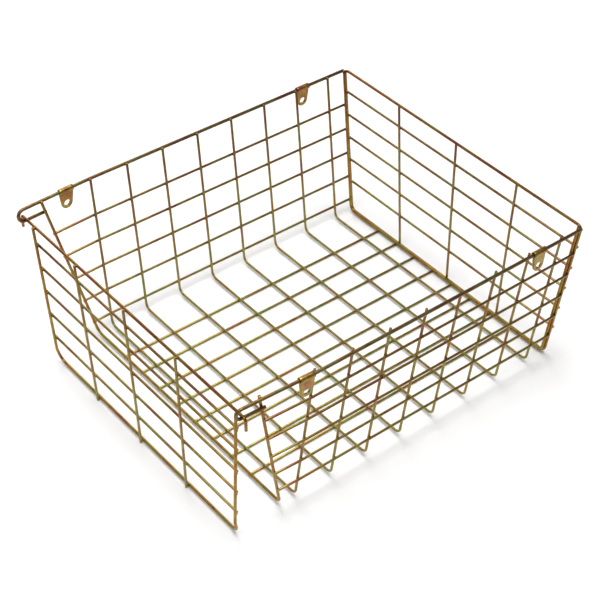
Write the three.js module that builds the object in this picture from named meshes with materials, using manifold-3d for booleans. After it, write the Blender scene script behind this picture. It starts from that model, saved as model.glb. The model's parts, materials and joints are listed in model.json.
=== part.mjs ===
// A wire letter cage: a welded trough with one fixed end panel, a hinged lid and four fixing clips.
// Millimetres, +Z up. The cage lies on its front with the open door side up.
// +X runs from the lid to the fixed end, +Y towards the left wall.
import * as THREE from 'three';
import { mergeVertices } from 'three/addons/utils/BufferGeometryUtils.js';
import Module from 'manifold-3d';

// Wire sizes.
const RIM_WIRE = 3.0;
const FRAME_WIRE = 2.6;
const MESH_WIRE = 2.3;
const WIRE_SIDES = 8;
const BEND_STEPS = 4;
const WELD_GAP = 0.1;
const BUTT_GAP = 0.3;

// Trough: two leaning walls and a floor, measured on the skin between hoops and rows.
const RIM_HEIGHT = 153;
const MOUTH_HALF_WIDTH = 151.7;
const WALL_LEAN = THREE.MathUtils.degToRad(7.25);
const FLOOR_BEND = 6;
const HOOP_COUNT = 8;
const HOOP_PITCH = 37.5;
const HOOP_RISE = 1.6;
const END_HOOP_SPACE = 20;
const RAKE_AT_RIM = 50;
const RAKE_AT_FLOOR = 14.6;
const TOE_IN = 3;
const TOE_BEND = 40;

// Long rows of the mesh.
const WALL_ROWS = 5;
const FLOOR_ROWS = 8;
const FIRST_ROW_DROP = { left: 35.2, right: 28.4 };
const ROW_PITCH = { left: 26, right: 25, floor: 25.9 };
const ROW_OVERHANG = 1;

// Hinge eyes bent from the rims.
const EYE_SETBACK = 67;
const EYE_RADIUS = 5.5;
const EYE_TAIL = 2;

// Fixed end panel.
const PANEL_RISE = 1.2;
const PANEL_CORNER = 4;
const PANEL_FLOOR_CORNER = 6;
const PANEL_ROWS = 5;
const PANEL_FIRST_DROP = 23.2;
const PANEL_ROW_PITCH = 24.3;
const PANEL_STUB = 1;
const PANEL_UPRIGHT_DRIFT = -4.7;
const UPRIGHTS = 3;

// Lid.
const HINGE_PLAY = 0.3;
const HINGE_HALF_SPAN = 153.8;
const HINGE_BEND = 3;
const HINGE_TAIL = 12;
const LID_TILT = THREE.MathUtils.degToRad(2.4);
const LID_SET = -6.8;
const LID_LENGTH = 142.6;
const LID_TOP_HALF = 138.6;
const LID_FOOT_HALF = 128.2;
const LID_CORNER = 8;
const LID_JOGGLE = 13;
const LID_HEAD = 1.2;
const LID_ROWS = 5;
const LID_FIRST_ROW = 18;
const LID_ROW_PITCH = 25;
const LID_STUB = { left: 3.6, right: -0.6 };
const LID_UPRIGHT_SPACE = { head: 69.4, foot: 64.8 };
const LID_UPRIGHT_DRIFT = -4.4;
const LID_OVERHANG = 2.2;

// Fixing clips: a strip rolled round the rim with both leaves in one tab that tapers to a round end.
const CLIP_SHEET = 0.8;
const CLIP_WIDTH = 14;
const CLIP_PLAY = 0.35;
const CLIP_REACH = 13.2;
const CLIP_END = 5.5;
const CLIP_HOLE = 6;
const CLIP_CURVE_STEPS = 10;
const CLIP_HOLE_STEPS = 20;
const CLIP_PLACES = [
  { name: 'clip_left_lid_end', side: 1, x: -23.8 },
  { name: 'clip_left_fixed_end', side: 1, x: 6.25 * HOOP_PITCH },
  { name: 'clip_right_lid_end', side: -1, x: -9.2 },
  { name: 'clip_right_fixed_end', side: -1, x: 6.25 * HOOP_PITCH },
];

// Sizes that follow from those above.
const FLAT = Math.cos(Math.PI / WIRE_SIDES);
const LEAN_RUN = Math.tan(WALL_LEAN);
const LEAN_SIDE = Math.cos(WALL_LEAN);
const HALF_GAP = WELD_GAP / 2;
const FLOOR_SKIN = FLAT * MESH_WIRE + HALF_GAP;
const LAST_HOOP_X = (HOOP_COUNT - 1) * HOOP_PITCH;
const END_HOOP_X = LAST_HOOP_X + END_HOOP_SPACE;
const LONG_END_X = END_HOOP_X + FLAT * FRAME_WIRE / 2;
const PANEL_X = LONG_END_X + WELD_GAP + FLAT * FRAME_WIRE / 2;
const PANEL_ROW_X = PANEL_X + FLAT * (FRAME_WIRE + MESH_WIRE) / 2 + WELD_GAP;
const PANEL_UPRIGHT_X = PANEL_ROW_X - FLAT * MESH_WIRE - WELD_GAP;
const FIXED_END_X = PANEL_ROW_X + FLAT * MESH_WIRE / 2;
const EYE_X = -EYE_SETBACK;
const LID_END_X = EYE_X - EYE_RADIUS - RIM_WIRE / 2;
const MIDDLE_X = (LID_END_X + FIXED_END_X) / 2;
const HINGE_Z = RIM_HEIGHT - 2 * EYE_RADIUS + (RIM_WIRE + FRAME_WIRE) / 2 + HINGE_PLAY;
const TOE_TURN = Math.atan(TOE_IN / EYE_SETBACK);

const wasm = await Module();
wasm.setup();

// Yellow passivated zinc on steel: dark rims, brighter frames and mesh, warm clips.
const finishes = {
  rim: new THREE.MeshStandardMaterial({ color: 0x8a7448, roughness: 0.38, metalness: 1 }),
  frame: new THREE.MeshStandardMaterial({ color: 0xb08a45, roughness: 0.34, metalness: 1 }),
  mesh: new THREE.MeshStandardMaterial({ color: 0xa89055, roughness: 0.34, metalness: 1 }),
  clip: new THREE.MeshStandardMaterial({ color: 0xa57c4a, roughness: 0.3, metalness: 1 }),
};

const cage = new THREE.Group();
cage.position.x = -MIDDLE_X;

function addPiece(name, geometry, finish) {
  const piece = new THREE.Mesh(geometry, finish);
  piece.name = name;
  cage.add(piece);
  return piece;
}

// The centre line of a bent wire: straight runs between corners, with a round bend at each corner.
class WirePath extends THREE.Curve {
  constructor(corners, bends) {
    super();
    this.stations = [];
    const last = corners.length - 1;
    const heading = (i) => corners[i + 1].clone().sub(corners[i]).normalize();
    this.addStation(corners[0], heading(0));
    for (let i = 1; i < last; i += 1) {
      this.addBend(corners[i], heading(i - 1), heading(i), bends[i - 1]);
    }
    this.addStation(corners[last], heading(last - 1));
  }

  addStation(point, tangent) {
    const before = this.stations.at(-1);
    if (before && before.point.distanceTo(point) < WELD_GAP / 10) return;
    this.stations.push({ point: point.clone(), tangent: tangent.clone() });
  }

  addBend(corner, before, after, radius) {
    const turn = before.angleTo(after);
    const inward = after.clone().addScaledVector(before, -before.dot(after)).normalize();
    const start = corner.clone().addScaledVector(before, -radius * Math.tan(turn / 2));
    for (let i = 0; i <= BEND_STEPS; i += 1) {
      const angle = turn * i / BEND_STEPS;
      const point = start.clone()
        .addScaledVector(before, radius * Math.sin(angle))
        .addScaledVector(inward, radius * (1 - Math.cos(angle)));
      const tangent = before.clone().multiplyScalar(Math.cos(angle)).addScaledVector(inward, Math.sin(angle));
      this.addStation(point, tangent);
    }
  }

  stationAt(u) {
    return this.stations[Math.round(u * (this.stations.length - 1))];
  }

  getPointAt(u, target = new THREE.Vector3()) {
    return target.copy(this.stationAt(u).point);
  }

  getTangentAt(u, target = new THREE.Vector3()) {
    return target.copy(this.stationAt(u).tangent);
  }

  getSpacedPoints() {
    return this.stations.map((station) => station.point.clone());
  }
}

// A wire's section, with flats facing the neighbours that it is welded to.
function wireSection(diameter) {
  const corners = [];
  for (let i = 0; i < WIRE_SIDES; i += 1) {
    const angle = (i + 0.5) * 2 * Math.PI / WIRE_SIDES;
    corners.push(new THREE.Vector2(Math.cos(angle), Math.sin(angle)).multiplyScalar(diameter / 2));
  }
  return new THREE.Shape(corners);
}

// A wire through the given corners; one bend radius serves all its bends, or each has its own.
function wire(diameter, corners, bend = 0) {
  const bends = Array.isArray(bend) ? bend : corners.map(() => bend);
  const path = new WirePath(corners, bends);
  return new THREE.ExtrudeGeometry(wireSection(diameter), {
    steps: path.stations.length - 1,
    extrudePath: path,
    bevelEnabled: false,
  });
}

function at(x, y, z) {
  return new THREE.Vector3(x, y, z);
}

// Half width of the trough's skin, which narrows from the first hoop to the lid end.
function skinHalf(x, z) {
  const toe = TOE_IN * Math.max(-x, 0) / EYE_SETBACK;
  return MOUTH_HALF_WIDTH - LEAN_RUN * (RIM_HEIGHT - z) - toe;
}

// Half width between wires laid inside or outside the skin.
function insideHalf(x, z, diameter) {
  return skinHalf(x, z) - (FLAT * diameter / 2 + HALF_GAP) / LEAN_SIDE;
}

function outsideHalf(x, z, diameter) {
  return skinHalf(x, z) + (diameter / 2 + HALF_GAP) / LEAN_SIDE;
}

function floorCentre(diameter) {
  return FLOOR_SKIN + FLAT * diameter / 2 + HALF_GAP;
}

function rimHalf(x) {
  return outsideHalf(x, RIM_HEIGHT, RIM_WIRE);
}

// The lid end hoop's place along X at a height: it rakes back from rim to floor.
function rakeX(z) {
  const rise = (z - FLOOR_SKIN) / (RIM_HEIGHT - FLOOR_SKIN);
  return -THREE.MathUtils.lerp(RAKE_AT_FLOOR, RAKE_AT_RIM, rise);
}

// Hoops: one wire down the right wall, across the floor and up the left wall.
function hoop(diameter, xAt) {
  const top = RIM_HEIGHT + HOOP_RISE;
  const floor = floorCentre(diameter);
  const corner = (side, z) => at(xAt(z), side * insideHalf(xAt(z), z, diameter), z);
  const corners = [corner(-1, top), corner(-1, floor), corner(1, floor), corner(1, top)];
  return wire(diameter, corners, FLOOR_BEND);
}

function addHoops() {
  addPiece('lid_end_hoop', hoop(FRAME_WIRE, rakeX), finishes.frame);
  for (let i = 0; i < HOOP_COUNT; i += 1) {
    addPiece(`hoop_${i + 1}`, hoop(MESH_WIRE, () => i * HOOP_PITCH), finishes.mesh);
  }
  addPiece('fixed_end_hoop', hoop(FRAME_WIRE, () => END_HOOP_X), finishes.frame);
}

// Rows: wires outside the hoops, from the raked hoop to the one beside the end panel.
function addRows() {
  for (const [wall, side] of [['left', 1], ['right', -1]]) {
    for (let i = 0; i < WALL_ROWS; i += 1) {
      const z = RIM_HEIGHT - FIRST_ROW_DROP[wall] - i * ROW_PITCH[wall];
      const corner = (x) => at(x, side * outsideHalf(x, z, MESH_WIRE), z);
      const corners = [corner(rakeX(z) - ROW_OVERHANG), corner(0), corner(LONG_END_X)];
      addPiece(`${wall}_row_${i + 1}`, wire(MESH_WIRE, corners, TOE_BEND), finishes.mesh);
    }
  }
  const floorZ = FLAT * MESH_WIRE / 2;
  for (let i = 0; i < FLOOR_ROWS; i += 1) {
    const y = ((FLOOR_ROWS - 1) / 2 - i) * ROW_PITCH.floor;
    const ends = [at(rakeX(floorZ) - ROW_OVERHANG, y, floorZ), at(LONG_END_X, y, floorZ)];
    addPiece(`floor_row_${i + 1}`, wire(MESH_WIRE, ends), finishes.mesh);
  }
}

// Rims: each turns in past the first hoop, curls down into a hinge eye and laps back to the raked hoop.
function addRims() {
  for (const [wall, side] of [['left', 1], ['right', -1]]) {
    const along = (x) => at(x, side * rimHalf(x), RIM_HEIGHT);
    const down = at(0, -side * Math.sin(WALL_LEAN), -LEAN_SIDE).multiplyScalar(2 * EYE_RADIUS);
    const curlTop = along(EYE_X - EYE_RADIUS);
    const curlFoot = curlTop.clone().add(down);
    const tail = along(rakeX(curlFoot.z) + EYE_TAIL).add(down);
    const corners = [along(LONG_END_X), along(0), curlTop, curlFoot, tail];
    addPiece(`${wall}_rim`, wire(RIM_WIRE, corners, [TOE_BEND, EYE_RADIUS, EYE_RADIUS]), finishes.rim);
  }
}

// Fixed end panel: a butt-jointed frame on the ends of the long wires, rows outside it, uprights within it.
function addEndPanel() {
  const top = RIM_HEIGHT + PANEL_RISE;
  const floor = FLOOR_SKIN;
  const topHalf = skinHalf(PANEL_X, top);
  const floorHalf = skinHalf(PANEL_X, floor);
  const frame = [
    at(PANEL_X, BUTT_GAP / 2, floor),
    at(PANEL_X, floorHalf, floor),
    at(PANEL_X, topHalf, top),
    at(PANEL_X, -topHalf, top),
    at(PANEL_X, -floorHalf, floor),
    at(PANEL_X, -BUTT_GAP / 2, floor),
  ];
  const bends = [PANEL_FLOOR_CORNER, PANEL_CORNER, PANEL_CORNER, PANEL_FLOOR_CORNER];
  addPiece('end_panel_frame', wire(FRAME_WIRE, frame, bends), finishes.frame);

  for (let i = 0; i < PANEL_ROWS; i += 1) {
    const z = RIM_HEIGHT - PANEL_FIRST_DROP - i * PANEL_ROW_PITCH;
    const half = skinHalf(PANEL_X, z) + PANEL_STUB;
    const ends = [at(PANEL_ROW_X, half, z), at(PANEL_ROW_X, -half, z)];
    addPiece(`end_panel_row_${i + 1}`, wire(MESH_WIRE, ends), finishes.mesh);
  }

  const reach = FRAME_WIRE / 2 + WELD_GAP;
  for (let i = 0; i < UPRIGHTS; i += 1) {
    const share = 1 - 2 * (i + 1) / (UPRIGHTS + 1);
    const ends = [
      at(PANEL_UPRIGHT_X, share * floorHalf + PANEL_UPRIGHT_DRIFT, floor + reach),
      at(PANEL_UPRIGHT_X, share * topHalf, top - reach),
    ];
    addPiece(`end_panel_upright_${i + 1}`, wire(MESH_WIRE, ends), finishes.mesh);
  }
}

// Lid, in its own frame: the hinge wire lies along Y and the lid hangs below it, tilted in at the foot.
function addLidPiece(name, geometry, finish) {
  const piece = addPiece(name, geometry, finish);
  piece.position.set(EYE_X, 0, HINGE_Z);
  piece.rotation.y = -LID_TILT;
}

// A leg's place along the hinge wire at a drop below it; the frame sits off centre, to the right.
function legY(side, drop) {
  return LID_SET + side * THREE.MathUtils.lerp(LID_TOP_HALF, LID_FOOT_HALF, drop / LID_LENGTH);
}

// Level wires weld to the skin's inside, legs and upright wires to its outside.
function addLid() {
  const skin = -FLAT * FRAME_WIRE / 2 - HALF_GAP;
  const inside = (diameter) => skin + HALF_GAP + FLAT * diameter / 2;
  const outside = (diameter) => skin - HALF_GAP - FLAT * diameter / 2;

  const hinge = [
    at(0, HINGE_HALF_SPAN, -HINGE_TAIL),
    at(0, HINGE_HALF_SPAN, 0),
    at(0, -HINGE_HALF_SPAN, 0),
    at(0, -HINGE_HALF_SPAN, -HINGE_TAIL),
  ];
  addLidPiece('lid_hinge_wire', wire(FRAME_WIRE, hinge, HINGE_BEND), finishes.frame);

  const leg = (side, drop) => at(outside(FRAME_WIRE), legY(side, drop), -drop);
  const foot = (side) => at(inside(FRAME_WIRE), legY(side, LID_LENGTH), -LID_LENGTH);
  const joggle = LID_LENGTH - LID_JOGGLE;
  const frame = [leg(1, -LID_HEAD), leg(1, joggle), foot(1), foot(-1), leg(-1, joggle), leg(-1, -LID_HEAD)];
  addLidPiece('lid_frame', wire(FRAME_WIRE, frame, LID_CORNER), finishes.frame);

  for (let i = 0; i < LID_ROWS; i += 1) {
    const drop = LID_FIRST_ROW + i * LID_ROW_PITCH;
    const x = inside(MESH_WIRE);
    const ends = [at(x, legY(1, drop) + LID_STUB.left, -drop), at(x, legY(-1, drop) - LID_STUB.right, -drop)];
    addLidPiece(`lid_row_${i + 1}`, wire(MESH_WIRE, ends), finishes.mesh);
  }

  for (let i = 0; i < UPRIGHTS; i += 1) {
    const place = (UPRIGHTS - 1) / 2 - i;
    const x = outside(MESH_WIRE);
    const ends = [
      at(x, place * LID_UPRIGHT_SPACE.head, LID_HEAD),
      at(x, place * LID_UPRIGHT_SPACE.foot + LID_UPRIGHT_DRIFT, -LID_LENGTH - LID_OVERHANG),
    ];
    addLidPiece(`lid_upright_${i + 1}`, wire(MESH_WIRE, ends), finishes.mesh);
  }
}

// A solid for joining and cutting, and the geometry of a solid.
function solidOf(geometry) {
  const bare = geometry.clone();
  bare.deleteAttribute('normal');
  bare.deleteAttribute('uv');
  const merged = mergeVertices(bare);
  const vertProperties = new Float32Array(merged.attributes.position.array);
  const triVerts = new Uint32Array(merged.index.array);
  return new wasm.Manifold(new wasm.Mesh({ numProp: 3, vertProperties, triVerts }));
}

function geometryOf(solid) {
  const mesh = solid.getMesh();
  const geometry = new THREE.BufferGeometry();
  geometry.setAttribute('position', new THREE.BufferAttribute(mesh.vertProperties, 3));
  geometry.setIndex(new THREE.BufferAttribute(mesh.triVerts, 1));
  geometry.computeVertexNormals();
  return geometry;
}

// A fixing clip hanging from the rim's axis, which is its origin.
function clipGeometry() {
  const bore = RIM_WIRE / 2 + CLIP_PLAY;
  const roll = bore + CLIP_SHEET;
  const foot = CLIP_REACH + CLIP_END;
  const lip = Math.asin(CLIP_SHEET / roll);
  const strip = new THREE.Shape();
  strip.moveTo(-CLIP_SHEET, -foot);
  strip.lineTo(CLIP_SHEET, -foot);
  strip.absarc(0, 0, roll, lip - Math.PI / 2, 3 * Math.PI / 2 - lip, false);
  strip.closePath();
  strip.holes.push(new THREE.Path().absarc(0, 0, bore, 0, 2 * Math.PI, true));
  const folded = new THREE.ExtrudeGeometry(strip, {
    depth: CLIP_WIDTH,
    curveSegments: CLIP_CURVE_STEPS,
    bevelEnabled: false,
  });
  folded.translate(0, 0, -CLIP_WIDTH / 2);
  folded.applyMatrix4(new THREE.Matrix4().makeBasis(at(0, 1, 0), at(0, 0, 1), at(1, 0, 0)));

  const shoulder = new THREE.Vector2(CLIP_WIDTH / 2, CLIP_REACH - roll);
  const taper = shoulder.angle() - Math.acos(CLIP_END / shoulder.length());
  const outline = new THREE.Shape();
  outline.moveTo(CLIP_WIDTH / 2, 2 * roll);
  outline.lineTo(-CLIP_WIDTH / 2, 2 * roll);
  outline.lineTo(-CLIP_WIDTH / 2, -roll);
  outline.absarc(0, -CLIP_REACH, CLIP_END, Math.PI - taper, 2 * Math.PI + taper, false);
  outline.lineTo(CLIP_WIDTH / 2, -roll);
  outline.closePath();
  const plan = new THREE.ExtrudeGeometry(outline, {
    depth: 4 * roll,
    curveSegments: CLIP_CURVE_STEPS,
    bevelEnabled: false,
  });
  plan.translate(0, 0, -2 * roll);
  plan.applyMatrix4(new THREE.Matrix4().makeBasis(at(1, 0, 0), at(0, 0, 1), at(0, -1, 0)));

  const hole = new THREE.CylinderGeometry(CLIP_HOLE / 2, CLIP_HOLE / 2, 4 * roll, CLIP_HOLE_STEPS);
  hole.translate(0, 0, -CLIP_REACH);
  return geometryOf(solidOf(folded).intersect(solidOf(plan)).subtract(solidOf(hole)));
}

function addClips() {
  for (const place of CLIP_PLACES) {
    const clip = addPiece(place.name, clipGeometry(), finishes.clip);
    clip.position.set(place.x, place.side * rimHalf(place.x), RIM_HEIGHT);
    clip.rotation.z = place.x < 0 ? place.side * TOE_TURN : 0;
  }
}

addRims();
addHoops();
addRows();
addEndPanel();
addLid();
addClips();

export default cage;
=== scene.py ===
"""Looks of the wire letter cage: welded round wire, rolled clips, yellow passivate. Metres, +Z up."""
import json
import math

import bmesh
import bpy
from mathutils import Matrix, Vector


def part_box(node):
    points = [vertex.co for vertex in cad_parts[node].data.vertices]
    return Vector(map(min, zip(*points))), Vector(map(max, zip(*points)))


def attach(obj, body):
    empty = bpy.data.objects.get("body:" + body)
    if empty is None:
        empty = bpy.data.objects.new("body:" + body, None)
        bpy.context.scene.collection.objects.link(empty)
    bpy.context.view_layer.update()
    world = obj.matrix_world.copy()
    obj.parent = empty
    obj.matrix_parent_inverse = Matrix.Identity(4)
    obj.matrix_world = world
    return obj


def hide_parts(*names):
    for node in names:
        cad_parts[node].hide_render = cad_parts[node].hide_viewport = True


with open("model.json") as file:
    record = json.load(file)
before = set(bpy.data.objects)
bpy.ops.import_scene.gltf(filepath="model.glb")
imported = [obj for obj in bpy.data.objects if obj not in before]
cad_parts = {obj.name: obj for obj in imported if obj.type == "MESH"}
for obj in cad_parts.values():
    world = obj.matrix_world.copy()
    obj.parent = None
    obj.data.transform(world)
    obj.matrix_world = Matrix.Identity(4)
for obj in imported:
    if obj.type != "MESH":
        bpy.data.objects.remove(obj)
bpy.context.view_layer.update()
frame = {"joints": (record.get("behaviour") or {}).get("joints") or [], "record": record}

MM = 0.001

# Wire sizes.
RIM_WIRE = 3.0 * MM
FRAME_WIRE = 2.6 * MM
MESH_WIRE = 2.3 * MM
WIRE_SIDES = 16
BEND_STEP = math.radians(9)
CUT_CHAMFER = 0.14
SHARP_ANGLE = math.radians(40)
WELD_SINK = 0.06 * MM
BUTT_GAP = 0.1 * MM

# Bends and leans of the trough.
WALL_LEAN = math.radians(7.25)
FLOOR_BEND = 6 * MM
HOOP_RISE = 1.6 * MM
RAKE_AT_RIM = 50 * MM
RAKE_AT_FLOOR = 14.6 * MM
TOE_IN = 3 * MM
TOE_BEND = 40 * MM
EYE_RADIUS = 5.5 * MM
EYE_TAIL = 2 * MM
ROW_COUNT = 5
FLOOR_ROW_COUNT = 8
HOOP_COUNT = 8
UPRIGHT_PLACES = (1, 0, -1)
UPRIGHT_SHARES = (0.5, 0.0, -0.5)

# Bends of the end panel and the lid.
PANEL_RISE = 1.2 * MM
PANEL_CORNER = 4 * MM
PANEL_UPRIGHT_DRIFT = -4.7 * MM
HINGE_BEND = 3 * MM
HINGE_TAIL = 12 * MM
HINGE_HALF_SPAN = 153.8 * MM
LID_TILT = math.radians(2.4)
LID_SET = -6.8 * MM
LID_LENGTH = 142.6 * MM
LID_TOP_HALF = 138.6 * MM
LID_FOOT_HALF = 128.2 * MM
LID_CORNER = 8 * MM
LID_JOGGLE = 13 * MM
LID_HEAD = 1.2 * MM
LID_FIRST_ROW = 18 * MM
LID_ROW_PITCH = 25 * MM
LID_STUB_LEFT = 3.6 * MM
LID_STUB_RIGHT = -0.6 * MM
LID_UPRIGHT_HEAD_SPACE = 69.4 * MM
LID_UPRIGHT_FOOT_SPACE = 64.8 * MM
LID_UPRIGHT_DRIFT = -4.4 * MM
LID_OVERHANG = 2.2 * MM

# Clips.
CLIP_SHEET = 0.8 * MM
CLIP_WIDTH = 14 * MM
CLIP_BORE = 1.85 * MM
CLIP_REACH = 13.2 * MM
CLIP_END = 5.5 * MM
CLIP_HOLE = 6 * MM
CLIP_NECK = 0.9 * MM
CLIP_SEAM = 0.06 * MM
CLIP_EDGE = 0.12 * MM
CLIP_EDGE_ANGLE = math.radians(50)
HOLE_STEPS = 32
ROLL_STEP = math.radians(10)
NEARLY_NONE = 1e-6

# Welds.
WELD_RADIUS = 1.4 * MM
WELD_HEIGHT = 0.66 * MM
WELD_SIDES = 8
WELD_RINGS = 5

# Camera, from a fit to the photograph's 600 by 600 frame.
CAMERA_TARGET = Vector((-0.0097, -0.0149, 0.080))
CAMERA_DISTANCE = 1.380
CAMERA_AZIMUTH = math.radians(-39.84)
CAMERA_ELEVATION = math.radians(40.28)
CAMERA_ROLL = math.radians(1.4)
CAMERA_LENS = 97.36
CAMERA_SENSOR = 36.0
CAMERA_NEAR = 0.05

# Studio: soft lights, each with its place, its two sides and its power in watts, over a pale floor.
LIGHT_TARGET = Vector((0, 0, 0.08))
LIGHTS = {
    "side": (Vector((-1.3, -0.35, 1.5)), (1.0, 1.0), 6),
    "back": (Vector((0.45, 1.5, 1.35)), (1.0, 0.7), 12),
    "top": (Vector((-0.1, -0.1, 2.2)), (1.6, 1.6), 45),
}
SKY_STRENGTH = 0.3
STUDIO_FLOOR_HALF = 4.0
STUDIO_FLOOR_GRAIN = 3.0
STUDIO_FLOOR_ROUGHNESS = 0.6
STUDIO_FLOOR_TONES = [(0.3, (0.86, 0.86, 0.86)), (0.7, (0.88, 0.88, 0.875))]

# Axes that the frame gives: the rims carry the clips, and the hinge wire carries the lid.
joints = {joint["name"]: joint for joint in frame["joints"]}
RIM_Y, RIM_Z = joints["left_fixed_end_clip_turn"]["pos_m"][1:]
HINGE_X, _, HINGE_Z = joints["lid_hinge"]["pos_m"]
SIDES = {"left": 1, "right": -1}


def middle(node):
    """The middle of a solid's box."""
    low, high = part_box(node)
    return (low + high) / 2


def axis_line(node):
    """The two ends of a straight wire that runs along X or Y."""
    low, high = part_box(node)
    size = high - low
    run = max(range(3), key=lambda axis: size[axis])
    start = (low + high) / 2
    end = start.copy()
    start[run] = low[run]
    end[run] = high[run]
    return [start, end]


FIRST_HOOP_X = middle("hoop_1").x
END_HOOP_X = middle("fixed_end_hoop").x
PANEL_X = middle("end_panel_frame").x
LONG_END_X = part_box("left_rim")[1].x


def rake_x(z):
    """Place of the raked hoop along X at a height."""
    rise = z / RIM_Z
    return FIRST_HOOP_X - RAKE_AT_FLOOR - (RAKE_AT_RIM - RAKE_AT_FLOOR) * rise


def rim_half(x):
    """Half the distance between the rims, which turn in from the first hoop to the hinge."""
    return RIM_Y - TOE_IN * max(FIRST_HOOP_X - x, 0) / (FIRST_HOOP_X - HINGE_X)


def skin_half(x, z):
    """Half the trough's width to the skin between its hoops and its long wires."""
    return rim_half(x) - RIM_WIRE / 2 / math.cos(WALL_LEAN) - math.tan(WALL_LEAN) * (RIM_Z - z)


def hoop_half(x, z, diameter):
    """Half the trough's width to the middle of a wire inside the skin."""
    return skin_half(x, z) - (diameter - WELD_SINK) / 2 / math.cos(WALL_LEAN)


def row_half(x, z):
    """Half the trough's width to the middle of a long wire outside the skin."""
    return skin_half(x, z) + (MESH_WIRE - WELD_SINK) / 2 / math.cos(WALL_LEAN)


def floor_height(diameter):
    """Height of the middle of a wire that lies across the floor wires."""
    return MESH_WIRE + diameter / 2 - WELD_SINK


# The lid's own frame: the hinge axis along Y, and the lid hanging below it with its foot tilted in.
LID_PLACE = Matrix.Translation((HINGE_X, 0, HINGE_Z)) @ Matrix.Rotation(-LID_TILT, 4, "Y")
LEG_X = -FRAME_WIRE + WELD_SINK
LID_SKIN_X = LEG_X / 2


def lid_point(x, y, drop):
    return LID_PLACE @ Vector((x, y, -drop))


def leg_y(side, drop):
    """A leg's place along the hinge wire; the lid's frame sits off centre, to the right."""
    return LID_SET + side * (LID_TOP_HALF + (LID_FOOT_HALF - LID_TOP_HALF) * drop / LID_LENGTH)


def upright_y(place, drop):
    """An upright's place along the hinge wire, counted from the middle one."""
    head = place * LID_UPRIGHT_HEAD_SPACE
    foot = place * LID_UPRIGHT_FOOT_SPACE + LID_UPRIGHT_DRIFT
    return head + (foot - head) * drop / LID_LENGTH


def verts_in(geometry):
    """The vertices among what an operator made."""
    return [item for item in geometry if isinstance(item, bmesh.types.BMVert)]


def verts_of(edges):
    """The vertices of some edges, each of them once."""
    return list(dict.fromkeys(vert for edge in edges for vert in edge.verts))


def edges_among(verts):
    """The edges that join these vertices to each other, each of them once."""
    inside = set(verts)
    edges = dict.fromkeys(edge for vert in verts for edge in vert.link_edges)
    return [edge for edge in edges if inside.issuperset(edge.verts)]


class Wire:
    """A round wire in a bmesh: straight runs are extruded and bends are spun.

    Each vertex keeps where it was on the straight wire, so that a finish follows the wire through its
    bends. Each wire starts a metre further on than the one before, so no two show the same pattern.
    """

    count = 0

    def __init__(self, diameter, start, heading):
        Wire.count += 1
        self.bm = bmesh.new()
        self.unbent = self.bm.verts.layers.float_vector.new("unbent")
        self.radius = diameter / 2
        self.centre = start.copy()
        self.heading = heading.copy()
        self.run = float(Wire.count)
        turn = heading.to_track_quat("Z", "Y")
        self.across = turn @ Vector((1, 0, 0))
        self.beside = turn @ Vector((0, 1, 0))
        place = Matrix.Translation(start) @ turn.to_matrix().to_4x4()
        made = bmesh.ops.create_circle(self.bm, segments=WIRE_SIDES, radius=self.radius, matrix=place)
        self.ring = edges_among(made["verts"])
        self.first = list(self.ring)
        self.mark()

    def mark(self):
        """Notes on the newest ring where it lay on the straight wire."""
        for vert in verts_of(self.ring):
            offset = vert.co - self.centre
            vert[self.unbent] = Vector((offset.dot(self.across), offset.dot(self.beside), self.run))

    def straight(self, length):
        made = bmesh.ops.extrude_edge_only(self.bm, edges=self.ring)
        verts = verts_in(made["geom"])
        bmesh.ops.translate(self.bm, verts=verts, vec=self.heading * length)
        self.ring = edges_among(verts)
        self.centre += self.heading * length
        self.run += length
        self.mark()

    def bend(self, heading, radius):
        angle = self.heading.angle(heading)
        steps = max(2, round(angle / BEND_STEP))
        axis = self.heading.cross(heading).normalized()
        pivot = self.centre + axis.cross(self.heading) * radius
        step = angle / steps
        turn = Matrix.Rotation(step, 3, axis)
        for _ in range(steps):
            ring = verts_of(self.ring) + self.ring
            made = bmesh.ops.spin(self.bm, geom=ring, cent=pivot, axis=axis, angle=step, steps=1)
            self.ring = edges_among(verts_in(made["geom_last"]))
            self.centre = pivot + turn @ (self.centre - pivot)
            self.heading = turn @ self.heading
            self.across = turn @ self.across
            self.beside = turn @ self.beside
            self.run += radius * step
            self.mark()
        self.heading = heading.copy()

    def cut_ends(self):
        """Closes both ends and takes the sharp edge off them."""
        for ring in (self.first, self.ring):
            bmesh.ops.contextual_create(self.bm, geom=ring)
        rings = self.first + self.ring
        chamfer = CUT_CHAMFER * self.radius
        bmesh.ops.bevel(
            self.bm, geom=rings, offset=chamfer, segments=2, profile=0.5, affect="EDGES", material=-1
        )


def object_from(bm, name, material):
    """A smooth-shaded object at the origin from a bmesh."""
    bmesh.ops.recalc_face_normals(bm, faces=bm.faces)
    mesh = bpy.data.meshes.new(name)
    bm.to_mesh(mesh)
    bm.free()
    mesh.shade_smooth()
    mesh.set_sharp_from_angle(angle=SHARP_ANGLE)
    mesh.materials.append(material)
    piece = bpy.data.objects.new(name, mesh)
    bpy.context.scene.collection.objects.link(piece)
    return piece


def fit(piece, body, node):
    """Puts a piece on its body in place of a solid."""
    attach(piece, body)
    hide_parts(node)


class Socket:
    """A shader value that can be written in sums: each operator adds the node that does it."""

    def __init__(self, finish, link):
        self.finish = finish
        self.link = link

    def maths(self, operation, a, b):
        return self.finish.node("ShaderNodeMath", {"operation": operation}, {0: a, 1: b})

    def __add__(self, other):
        return self.maths("ADD", self, other)

    def __radd__(self, other):
        return self.maths("ADD", other, self)

    def __sub__(self, other):
        return self.maths("SUBTRACT", self, other)

    def __rsub__(self, other):
        return self.maths("SUBTRACT", other, self)

    def __mul__(self, other):
        return self.maths("MULTIPLY", self, other)

    def __rmul__(self, other):
        return self.maths("MULTIPLY", other, self)


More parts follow.
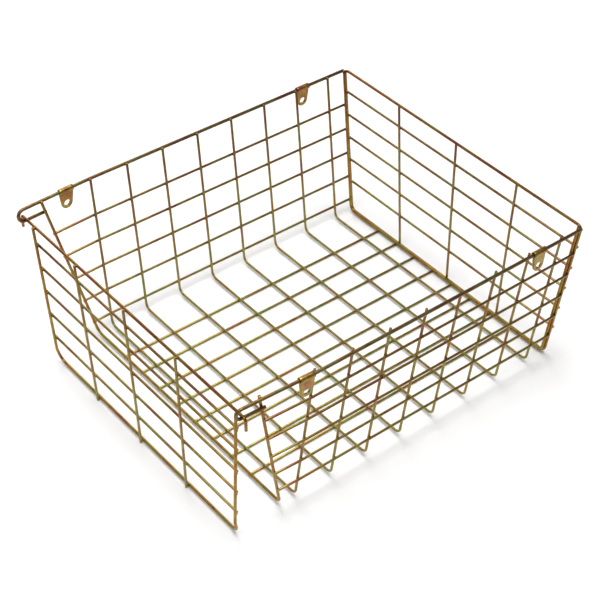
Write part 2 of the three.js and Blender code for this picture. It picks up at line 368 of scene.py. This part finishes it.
class Finish:
    """A material that is put together from nodes."""

    # Places of a Mix node's colours, which share their names with its numbers and vectors.
    MIX_FIRST, MIX_SECOND, MIX_RESULT = 6, 7, 2

    def __init__(self, name):
        self.material = bpy.data.materials.new(name)
        self.material.use_nodes = True
        self.tree = self.material.node_tree
        self.shader = self.tree.nodes["Principled BSDF"]

    def node(self, kind, settings, sockets, output=0):
        """Adds a node: its settings first, then the values or links of its sockets."""
        node = self.tree.nodes.new(kind)
        for key, value in settings.items():
            if key == "stops":
                self.set_stops(node.color_ramp, value)
            else:
                setattr(node, key, value)
        for key, value in sockets.items():
            self.feed(node.inputs[key], value)
        return Socket(self, node.outputs[output])

    def set_stops(self, ramp, stops):
        while len(ramp.elements) < len(stops):
            ramp.elements.new(1.0)
        for element, (place, colour) in zip(ramp.elements, stops):
            element.position = place
            element.color = (*colour, 1.0)

    def feed(self, socket, value):
        if isinstance(value, Socket):
            self.tree.links.new(value.link, socket)
        else:
            socket.default_value = value

    def set(self, **values):
        for key, value in values.items():
            self.feed(self.shader.inputs[key.replace("_", " ")], value)

    def multiplied(self, first, second):
        """One colour times another."""
        settings = {"data_type": "RGBA", "blend_type": "MULTIPLY"}
        values = {"Factor": 1.0, self.MIX_FIRST: first, self.MIX_SECOND: second}
        return self.node("ShaderNodeMix", settings, values, self.MIX_RESULT)

    def own_place(self):
        """Where a point lies on its own piece."""
        return self.node("ShaderNodeTexCoord", {}, {}, "Object")

    def unbent_place(self):
        """Where a point lay on its wire before it was bent."""
        return self.node("ShaderNodeAttribute", {"attribute_name": "unbent"}, {}, "Vector")

    def height(self):
        return self.node("ShaderNodeSeparateXYZ", {}, {"Vector": self.own_place()}, "Z")

    def noise(self, place, scale, detail=2.0, roughness=0.5):
        values = {"Vector": place, "Scale": scale, "Detail": detail, "Roughness": roughness}
        return self.node("ShaderNodeTexNoise", {}, values)

    def ramp(self, factor, stops):
        return self.node("ShaderNodeValToRGB", {"stops": stops}, {"Fac": factor})

    def stretched(self, place, scale):
        values = {"Vector": place, "Scale": scale}
        return self.node("ShaderNodeMapping", {"vector_type": "POINT"}, values)

    def bump(self, height, strength, distance):
        values = {"Height": height, "Strength": strength, "Distance": distance}
        return self.node("ShaderNodeBump", {}, values)


# Tones of yellow passivate, from the thin pink film to the thick olive one.
PINK = (0.46, 0.19, 0.15)
COPPER = (0.46, 0.24, 0.11)
GOLD = (0.50, 0.33, 0.11)
STRAW = (0.47, 0.40, 0.18)
OLIVE = (0.38, 0.37, 0.11)
FILM_TONES = [(0.34, PINK), (0.43, COPPER), (0.50, GOLD), (0.57, STRAW), (0.66, OLIVE)]
# Painted floor reflection: how far the film turns from olive at the floor to pink at the rims.
PAINTED_BOUNCE_TURN = 0.1

# Patterns of the finish, from drifts along a wire down to its drawing lines, and what each one does.
WIRE_DRIFT = 24.0
CLIP_DRIFT = 90.0
CLOUD_SCALE = 130.0
SPOT_SCALE = 900.0
LINE_SCALE = 5200.0
LINE_STRETCH = (1.0, 1.0, 0.02)
CLOUD_SHADES = [(0.30, (0.72, 0.72, 0.72)), (0.55, (1.0, 1.0, 1.0)), (0.75, (1.12, 1.1, 1.05))]
# Painted floor bounce light and painted shade, by height: lighter at the floor, darker at the rims.
PAINTED_BOUNCE_SHADES = [(0.0, (1.15, 1.13, 1.0)), (1.0, (0.82, 0.78, 0.82))]
CLOUD_DULLING = 0.16
SPOT_DULLING = 0.08
MEAN_DULLING = 0.1
LINE_SHARE = 0.7
GRAIN_STRENGTH = 0.25
GRAIN_DEPTH = 0.04 * MM


def passivate(name, tint, roughness, along_wire=True, drift_scale=WIRE_DRIFT, turn=0.0):
    """Yellow passivated zinc: a rainbow film in drifts, faint drawing lines and rubbed duller spots.

    Painted floor bounce and shade: lighter at the floor, darker at the rims, and it may turn olive to
    pink upwards.
    """
    finish = Finish(name)
    place = finish.unbent_place() if along_wire else finish.own_place()
    drift = finish.noise(place, drift_scale, detail=3.0, roughness=0.6)
    cloud = finish.noise(place, CLOUD_SCALE, detail=3.0, roughness=0.6)
    spots = finish.noise(place, SPOT_SCALE, roughness=0.55)
    lines = finish.noise(finish.stretched(place, LINE_STRETCH), LINE_SCALE, roughness=0.6)
    rise = 1 / RIM_Z * finish.height()
    # The turn is a painted floor reflection: olive film towards the floor, pink towards the rims.
    film = finish.ramp(drift + turn * (0.5 - rise), FILM_TONES)
    colour = finish.multiplied(film, finish.ramp(cloud, CLOUD_SHADES))
    # Painted floor bounce light and painted shade: lighter towards the floor, darker towards the rims.
    colour = finish.multiplied(colour, finish.ramp(rise, PAINTED_BOUNCE_SHADES))
    grain = LINE_SHARE * lines + (1 - LINE_SHARE) * spots
    finish.set(
        Base_Color=finish.multiplied(colour, (*tint, 1.0)),
        Metallic=1.0,
        Roughness=roughness + CLOUD_DULLING * cloud + SPOT_DULLING * spots - MEAN_DULLING,
        Normal=finish.bump(grain, GRAIN_STRENGTH, GRAIN_DEPTH),
    )
    return finish.material


def pale_floor():
    finish = Finish("pale_floor")
    grain = finish.noise(finish.own_place(), STUDIO_FLOOR_GRAIN)
    finish.set(Base_Color=finish.ramp(grain, STUDIO_FLOOR_TONES), Roughness=STUDIO_FLOOR_ROUGHNESS)
    return finish.material


rim_finish = passivate("rim_passivate", tint=(0.50, 0.51, 0.45), roughness=0.34)
# Frame and mesh wires carry the painted floor reflection that turns them from olive to pink upwards.
frame_finish = passivate("frame_passivate", tint=(0.64, 0.53, 0.27), roughness=0.28, turn=PAINTED_BOUNCE_TURN)
mesh_finish = passivate("mesh_passivate", tint=(0.62, 0.63, 0.48), roughness=0.32, turn=PAINTED_BOUNCE_TURN)
clip_finish = passivate(
    "clip_passivate", tint=(0.84, 0.80, 0.50), roughness=0.28, along_wire=False, drift_scale=CLIP_DRIFT
)
weld_finish = passivate("weld_passivate", tint=(0.7, 0.7, 0.75), roughness=0.4, along_wire=False)

WIRES = {
    "rim_wire": (RIM_WIRE, rim_finish),
    "frame_wire": (FRAME_WIRE, frame_finish),
    "mesh_wire": (MESH_WIRE, mesh_finish),
}


def lay_wire(node, body, slot, corners, bends=()):
    """Lays a wire through corners, each turned with its own bend radius, in place of a solid."""
    diameter, material = WIRES[slot]
    headings = [(b - a).normalized() for a, b in zip(corners, corners[1:])]
    turns = [a.angle(b) for a, b in zip(headings, headings[1:])]
    trims = [0.0] + [radius * math.tan(turn / 2) for radius, turn in zip(bends, turns)] + [0.0]
    wire = Wire(diameter, corners[0], headings[0])
    for i in range(len(headings)):
        length = (corners[i + 1] - corners[i]).length - trims[i] - trims[i + 1]
        if length > BUTT_GAP:
            wire.straight(length)
        if i < len(bends):
            wire.bend(headings[i + 1], bends[i])
    wire.cut_ends()
    fit(object_from(wire.bm, f"{node}_visual", material), body, node)


def make_rims():
    """Rims with the hinge eyes bent on their ends."""
    for wall, side in SIDES.items():
        down = Vector((0, -side * math.sin(WALL_LEAN), -math.cos(WALL_LEAN))) * 2 * EYE_RADIUS
        tail_x = rake_x(RIM_Z + down.z) + EYE_TAIL
        places = (LONG_END_X, FIRST_HOOP_X, HINGE_X - EYE_RADIUS, tail_x)
        line = [Vector((x, side * rim_half(x), RIM_Z)) for x in places]
        corners = line[:3] + [line[2] + down, line[3] + down]
        lay_wire(f"{wall}_rim", "cage", "rim_wire", corners, [TOE_BEND, EYE_RADIUS, EYE_RADIUS])


def hoop_corners(diameter, x_at):
    top = RIM_Z + HOOP_RISE
    floor = floor_height(diameter)
    corners = []
    for side, z in ((-1, top), (-1, floor), (1, floor), (1, top)):
        corners.append(Vector((x_at(z), side * hoop_half(x_at(z), z, diameter), z)))
    return corners


def make_hoops():
    """Hoops down one wall, across the floor and up the other."""
    for i in range(HOOP_COUNT):
        name = f"hoop_{i + 1}"
        x = middle(name).x
        lay_wire(name, "cage", "mesh_wire", hoop_corners(MESH_WIRE, lambda z: x), [FLOOR_BEND] * 2)
    ends = {"lid_end_hoop": rake_x, "fixed_end_hoop": lambda z: END_HOOP_X}
    for name, x_at in ends.items():
        lay_wire(name, "cage", "frame_wire", hoop_corners(FRAME_WIRE, x_at), [FLOOR_BEND] * 2)


def make_rows():
    """Long wires of the walls, which turn in with the rims, and of the floor."""
    for wall, side in SIDES.items():
        for i in range(ROW_COUNT):
            name = f"{wall}_row_{i + 1}"
            low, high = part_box(name)
            z = middle(name).z
            corners = [Vector((x, side * row_half(x, z), z)) for x in (low.x, FIRST_HOOP_X, high.x)]
            lay_wire(name, "cage", "mesh_wire", corners, [TOE_BEND])
    for i in range(FLOOR_ROW_COUNT):
        name = f"floor_row_{i + 1}"
        line = axis_line(name)
        for end in line:
            end.z = MESH_WIRE / 2
        lay_wire(name, "cage", "mesh_wire", line)


def panel_upright_y(share, z):
    """An upright's place across the end panel; all of them drift to the right at the floor."""
    rise = (z - MESH_WIRE) / (RIM_Z - MESH_WIRE)
    foot = share * skin_half(PANEL_X, MESH_WIRE) + PANEL_UPRIGHT_DRIFT
    return foot + (share * skin_half(PANEL_X, RIM_Z) - foot) * rise


def make_end_panel():
    """Fixed end panel: a bent frame with a butt joint, rows outside it and uprights within it."""
    top = RIM_Z + PANEL_RISE
    half = [(BUTT_GAP / 2, MESH_WIRE)] + [(skin_half(PANEL_X, z), z) for z in (MESH_WIRE, top)]
    left = [Vector((PANEL_X, y, z)) for y, z in half]
    right = [Vector((PANEL_X, -y, z)) for y, z in reversed(half)]
    bends = [FLOOR_BEND, PANEL_CORNER, PANEL_CORNER, FLOOR_BEND]
    lay_wire("end_panel_frame", "cage", "frame_wire", left + right, bends)
    for i in range(ROW_COUNT):
        name = f"end_panel_row_{i + 1}"
        lay_wire(name, "cage", "mesh_wire", axis_line(name))
    for i, share in enumerate(UPRIGHT_SHARES):
        name = f"end_panel_upright_{i + 1}"
        low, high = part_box(name)
        line = [Vector((middle(name).x, panel_upright_y(share, z), z)) for z in (low.z, high.z)]
        lay_wire(name, "cage", "mesh_wire", line)


def make_lid():
    """Lid: hinge wire with turned-down ends, U-shaped frame, rows and uprights."""
    ends = ((1, HINGE_TAIL), (1, 0), (-1, 0), (-1, HINGE_TAIL))
    hinge = [lid_point(0, side * HINGE_HALF_SPAN, drop) for side, drop in ends]
    lay_wire("lid_hinge_wire", "lid", "frame_wire", hinge, [HINGE_BEND] * 2)

    leg = ((LEG_X, -LID_HEAD), (LEG_X, LID_LENGTH - LID_JOGGLE), (0, LID_LENGTH))
    left = [lid_point(x, leg_y(1, drop), drop) for x, drop in leg]
    right = [lid_point(x, leg_y(-1, drop), drop) for x, drop in reversed(leg)]
    lay_wire("lid_frame", "lid", "frame_wire", left + right, [LID_CORNER] * 4)

    row_x = LID_SKIN_X + (MESH_WIRE - WELD_SINK) / 2
    for i in range(ROW_COUNT):
        drop = LID_FIRST_ROW + i * LID_ROW_PITCH
        line = [
            lid_point(row_x, leg_y(1, drop) + LID_STUB_LEFT, drop),
            lid_point(row_x, leg_y(-1, drop) - LID_STUB_RIGHT, drop),
        ]
        lay_wire(f"lid_row_{i + 1}", "lid", "mesh_wire", line)

    upright_x = LID_SKIN_X - (MESH_WIRE - WELD_SINK) / 2
    for i, place in enumerate(UPRIGHT_PLACES):
        drops = (-LID_HEAD, LID_LENGTH + LID_OVERHANG)
        line = [lid_point(upright_x, upright_y(place, drop), drop) for drop in drops]
        lay_wire(f"lid_upright_{i + 1}", "lid", "mesh_wire", line)


def make_clip(node, body, place):
    """A clip of folded strip: two leaves with a shared hole, rolled over the rim in one piece."""
    bm = bmesh.new()
    half_width = CLIP_WIDTH / 2
    roll = CLIP_BORE + CLIP_SHEET / 2
    leaf_y = (CLIP_SHEET + CLIP_SEAM) / 2
    neck_y = leaf_y + CLIP_NECK
    neck_z = -math.sqrt((roll + CLIP_NECK) ** 2 - neck_y ** 2)
    neck_turn = math.acos(neck_y / (roll + CLIP_NECK))
    shoulder = Vector((half_width, neck_z + CLIP_REACH))
    taper = math.atan2(shoulder.y, shoulder.x) - math.acos(CLIP_END / shoulder.length)

    # One leaf, from its round hole out to its edge.
    upright = Matrix.Translation((0, leaf_y, -CLIP_REACH)) @ Matrix.Rotation(math.pi / 2, 4, "X")
    hole = bmesh.ops.create_circle(bm, segments=HOLE_STEPS, radius=CLIP_HOLE / 2, matrix=upright)
    made = bmesh.ops.extrude_edge_only(bm, edges=edges_among(hole["verts"]))
    top = []
    for vert in verts_in(made["geom"]):
        out = Vector((vert.co.x, vert.co.z + CLIP_REACH)).normalized()
        reach = CLIP_END
        if math.atan2(out.y, abs(out.x)) > taper:
            reach /= max(abs(out.x) * math.cos(taper) + out.y * math.sin(taper), NEARLY_NONE)
        if out.y > NEARLY_NONE:
            reach = min(reach, shoulder.y / out.y)
        vert.co.x = out.x * reach
        vert.co.z = out.y * reach - CLIP_REACH
        if vert.co.z > neck_z - CLIP_SEAM:
            top.append(vert)

    # The other leaf, and the roll between them.
    row = top + edges_among(top)
    leaf = list(bm.verts) + list(bm.edges) + list(bm.faces)
    copy = bmesh.ops.duplicate(bm, geom=leaf)["geom"]
    bmesh.ops.translate(bm, verts=verts_in(copy), vec=(0, -2 * leaf_y, 0))
    swings = [
        ((0, neck_y, neck_z), -neck_turn),
        ((0, 0, 0), 2 * (math.pi / 2 + neck_turn)),
        ((0, -neck_y, neck_z), -neck_turn),
    ]
    for pivot, angle in swings:
        steps = max(3, round(abs(angle) / ROLL_STEP))
        made = bmesh.ops.spin(bm, geom=row, cent=pivot, axis=(1, 0, 0), angle=angle, steps=steps)
        row = made["geom_last"]
    bmesh.ops.remove_doubles(bm, verts=bm.verts, dist=CLIP_SEAM / 3)
    bmesh.ops.transform(bm, matrix=place, verts=bm.verts)

    piece = object_from(bm, f"{node}_visual", clip_finish)
    sheet = piece.modifiers.new("sheet", "SOLIDIFY")
    sheet.thickness = CLIP_SHEET
    sheet.offset = 0.0
    edge = piece.modifiers.new("deburred edge", "BEVEL")
    edge.width = CLIP_EDGE
    edge.segments = 2
    edge.limit_method = "ANGLE"
    edge.angle_limit = CLIP_EDGE_ANGLE
    fit(piece, body, node)


def make_clips():
    """Clips on the rims, each turned to lie along its own stretch of rim."""
    for joint in frame["joints"]:
        if joint["name"].endswith("_clip_turn"):
            node = frame["record"]["behaviour"]["bodies"][joint["child"]][0]
            along = math.atan2(joint["axis"][1], joint["axis"][0])
            place = Matrix.Translation(joint["pos_m"]) @ Matrix.Rotation(along, 4, "Z")
            make_clip(node, joint["child"], place)


def add_weld(bm, point, normal):
    """A small squeezed collar where two wires were welded."""
    turn = Vector(normal).to_track_quat("Z", "Y").to_matrix().to_4x4()
    flat = Matrix.Diagonal((WELD_RADIUS, WELD_RADIUS, WELD_HEIGHT, 1.0))
    place = Matrix.Translation(point) @ turn @ flat
    bmesh.ops.create_uvsphere(bm, u_segments=WELD_SIDES, v_segments=WELD_RINGS, radius=1.0, matrix=place)


def make_cage_welds():
    """Welds of hoops and end panel to the long wires and of the panel's own wires."""
    bm = bmesh.new()
    straight = [(middle(f"hoop_{i + 1}").x, MESH_WIRE) for i in range(HOOP_COUNT)]
    straight += [(END_HOOP_X, FRAME_WIRE)]
    crossing = [(lambda z, x=x: x, diameter) for x, diameter in straight] + [(rake_x, FRAME_WIRE)]
    for x_at, diameter in crossing:
        for wall, side in SIDES.items():
            outward = Vector((0, side * math.cos(WALL_LEAN), -math.sin(WALL_LEAN)))
            heights = [middle(f"{wall}_row_{i + 1}").z for i in range(ROW_COUNT)] + [RIM_Z]
            for z in heights:
                inner = Vector((x_at(z), side * hoop_half(x_at(z), z, diameter), z))
                add_weld(bm, inner + outward * (diameter - WELD_SINK) / 2, outward)
        for i in range(FLOOR_ROW_COUNT):
            y = middle(f"floor_row_{i + 1}").y
            add_weld(bm, Vector((x_at(MESH_WIRE), y, MESH_WIRE - WELD_SINK / 2)), (0, 0, 1))
    for i in range(ROW_COUNT):
        row = middle(f"end_panel_row_{i + 1}")
        places = [side * skin_half(PANEL_X, row.z) for side in (1, -1)]
        places += [panel_upright_y(share, row.z) for share in UPRIGHT_SHARES]
        for y in places:
            add_weld(bm, Vector((row.x - MESH_WIRE / 2, y, row.z)), (1, 0, 0))
    piece = object_from(bm, "cage_welds", weld_finish)
    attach(piece, "cage")


def make_lid_welds():
    """Welds of the lid's level wires to its legs and uprights."""
    bm = bmesh.new()
    facing = LID_PLACE.to_3x3() @ Vector((1, 0, 0))
    for drop in [0.0] + [LID_FIRST_ROW + i * LID_ROW_PITCH for i in range(ROW_COUNT)] + [LID_LENGTH]:
        places = [upright_y(place, drop) for place in UPRIGHT_PLACES]
        if drop < LID_LENGTH:
            places += [leg_y(side, drop) for side in (1, -1)]
        for y in places:
            add_weld(bm, lid_point(LID_SKIN_X, y, drop), facing)
    piece = object_from(bm, "lid_welds", weld_finish)
    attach(piece, "lid")


def make_camera():
    data = bpy.data.cameras.new("camera")
    data.lens = CAMERA_LENS
    data.sensor_width = CAMERA_SENSOR
    data.clip_start = CAMERA_NEAR
    camera = bpy.data.objects.new("camera", data)
    azimuth = Matrix.Rotation(CAMERA_AZIMUTH, 4, "Z")
    elevation = Matrix.Rotation(math.pi / 2 - CAMERA_ELEVATION, 4, "X")
    turn = azimuth @ elevation @ Matrix.Rotation(CAMERA_ROLL, 4, "Z")
    back = turn.to_3x3() @ Vector((0, 0, 1))
    camera.matrix_world = Matrix.Translation(CAMERA_TARGET + back * CAMERA_DISTANCE) @ turn
    bpy.context.scene.collection.objects.link(camera)
    bpy.context.scene.camera = camera


def add_softbox(name, place, size, power):
    data = bpy.data.lights.new(name, "AREA")
    data.shape = "RECTANGLE"
    data.size, data.size_y = size
    data.energy = power
    lamp = bpy.data.objects.new(name, data)
    lamp.location = place
    lamp.rotation_euler = (LIGHT_TARGET - place).to_track_quat("-Z", "Y").to_euler()
    bpy.context.scene.collection.objects.link(lamp)


def make_studio():
    bm = bmesh.new()
    bmesh.ops.create_grid(bm, x_segments=1, y_segments=1, size=STUDIO_FLOOR_HALF)
    floor = object_from(bm, "floor", pale_floor())
    for name, (place, size, power) in LIGHTS.items():
        add_softbox(name, place, size, power)
    world = bpy.data.worlds.new("studio")
    world.use_nodes = True
    sky = world.node_tree.nodes["Background"]
    sky.inputs["Color"].default_value = (1.0, 1.0, 1.0, 1.0)
    sky.inputs["Strength"].default_value = SKY_STRENGTH
    bpy.context.scene.world = world
    bpy.context.scene.view_settings.view_transform = "Standard"


make_camera()
make_studio()
make_rims()
make_hoops()
make_rows()
make_end_panel()
make_lid()
make_clips()
make_cage_welds()
make_lid_welds()
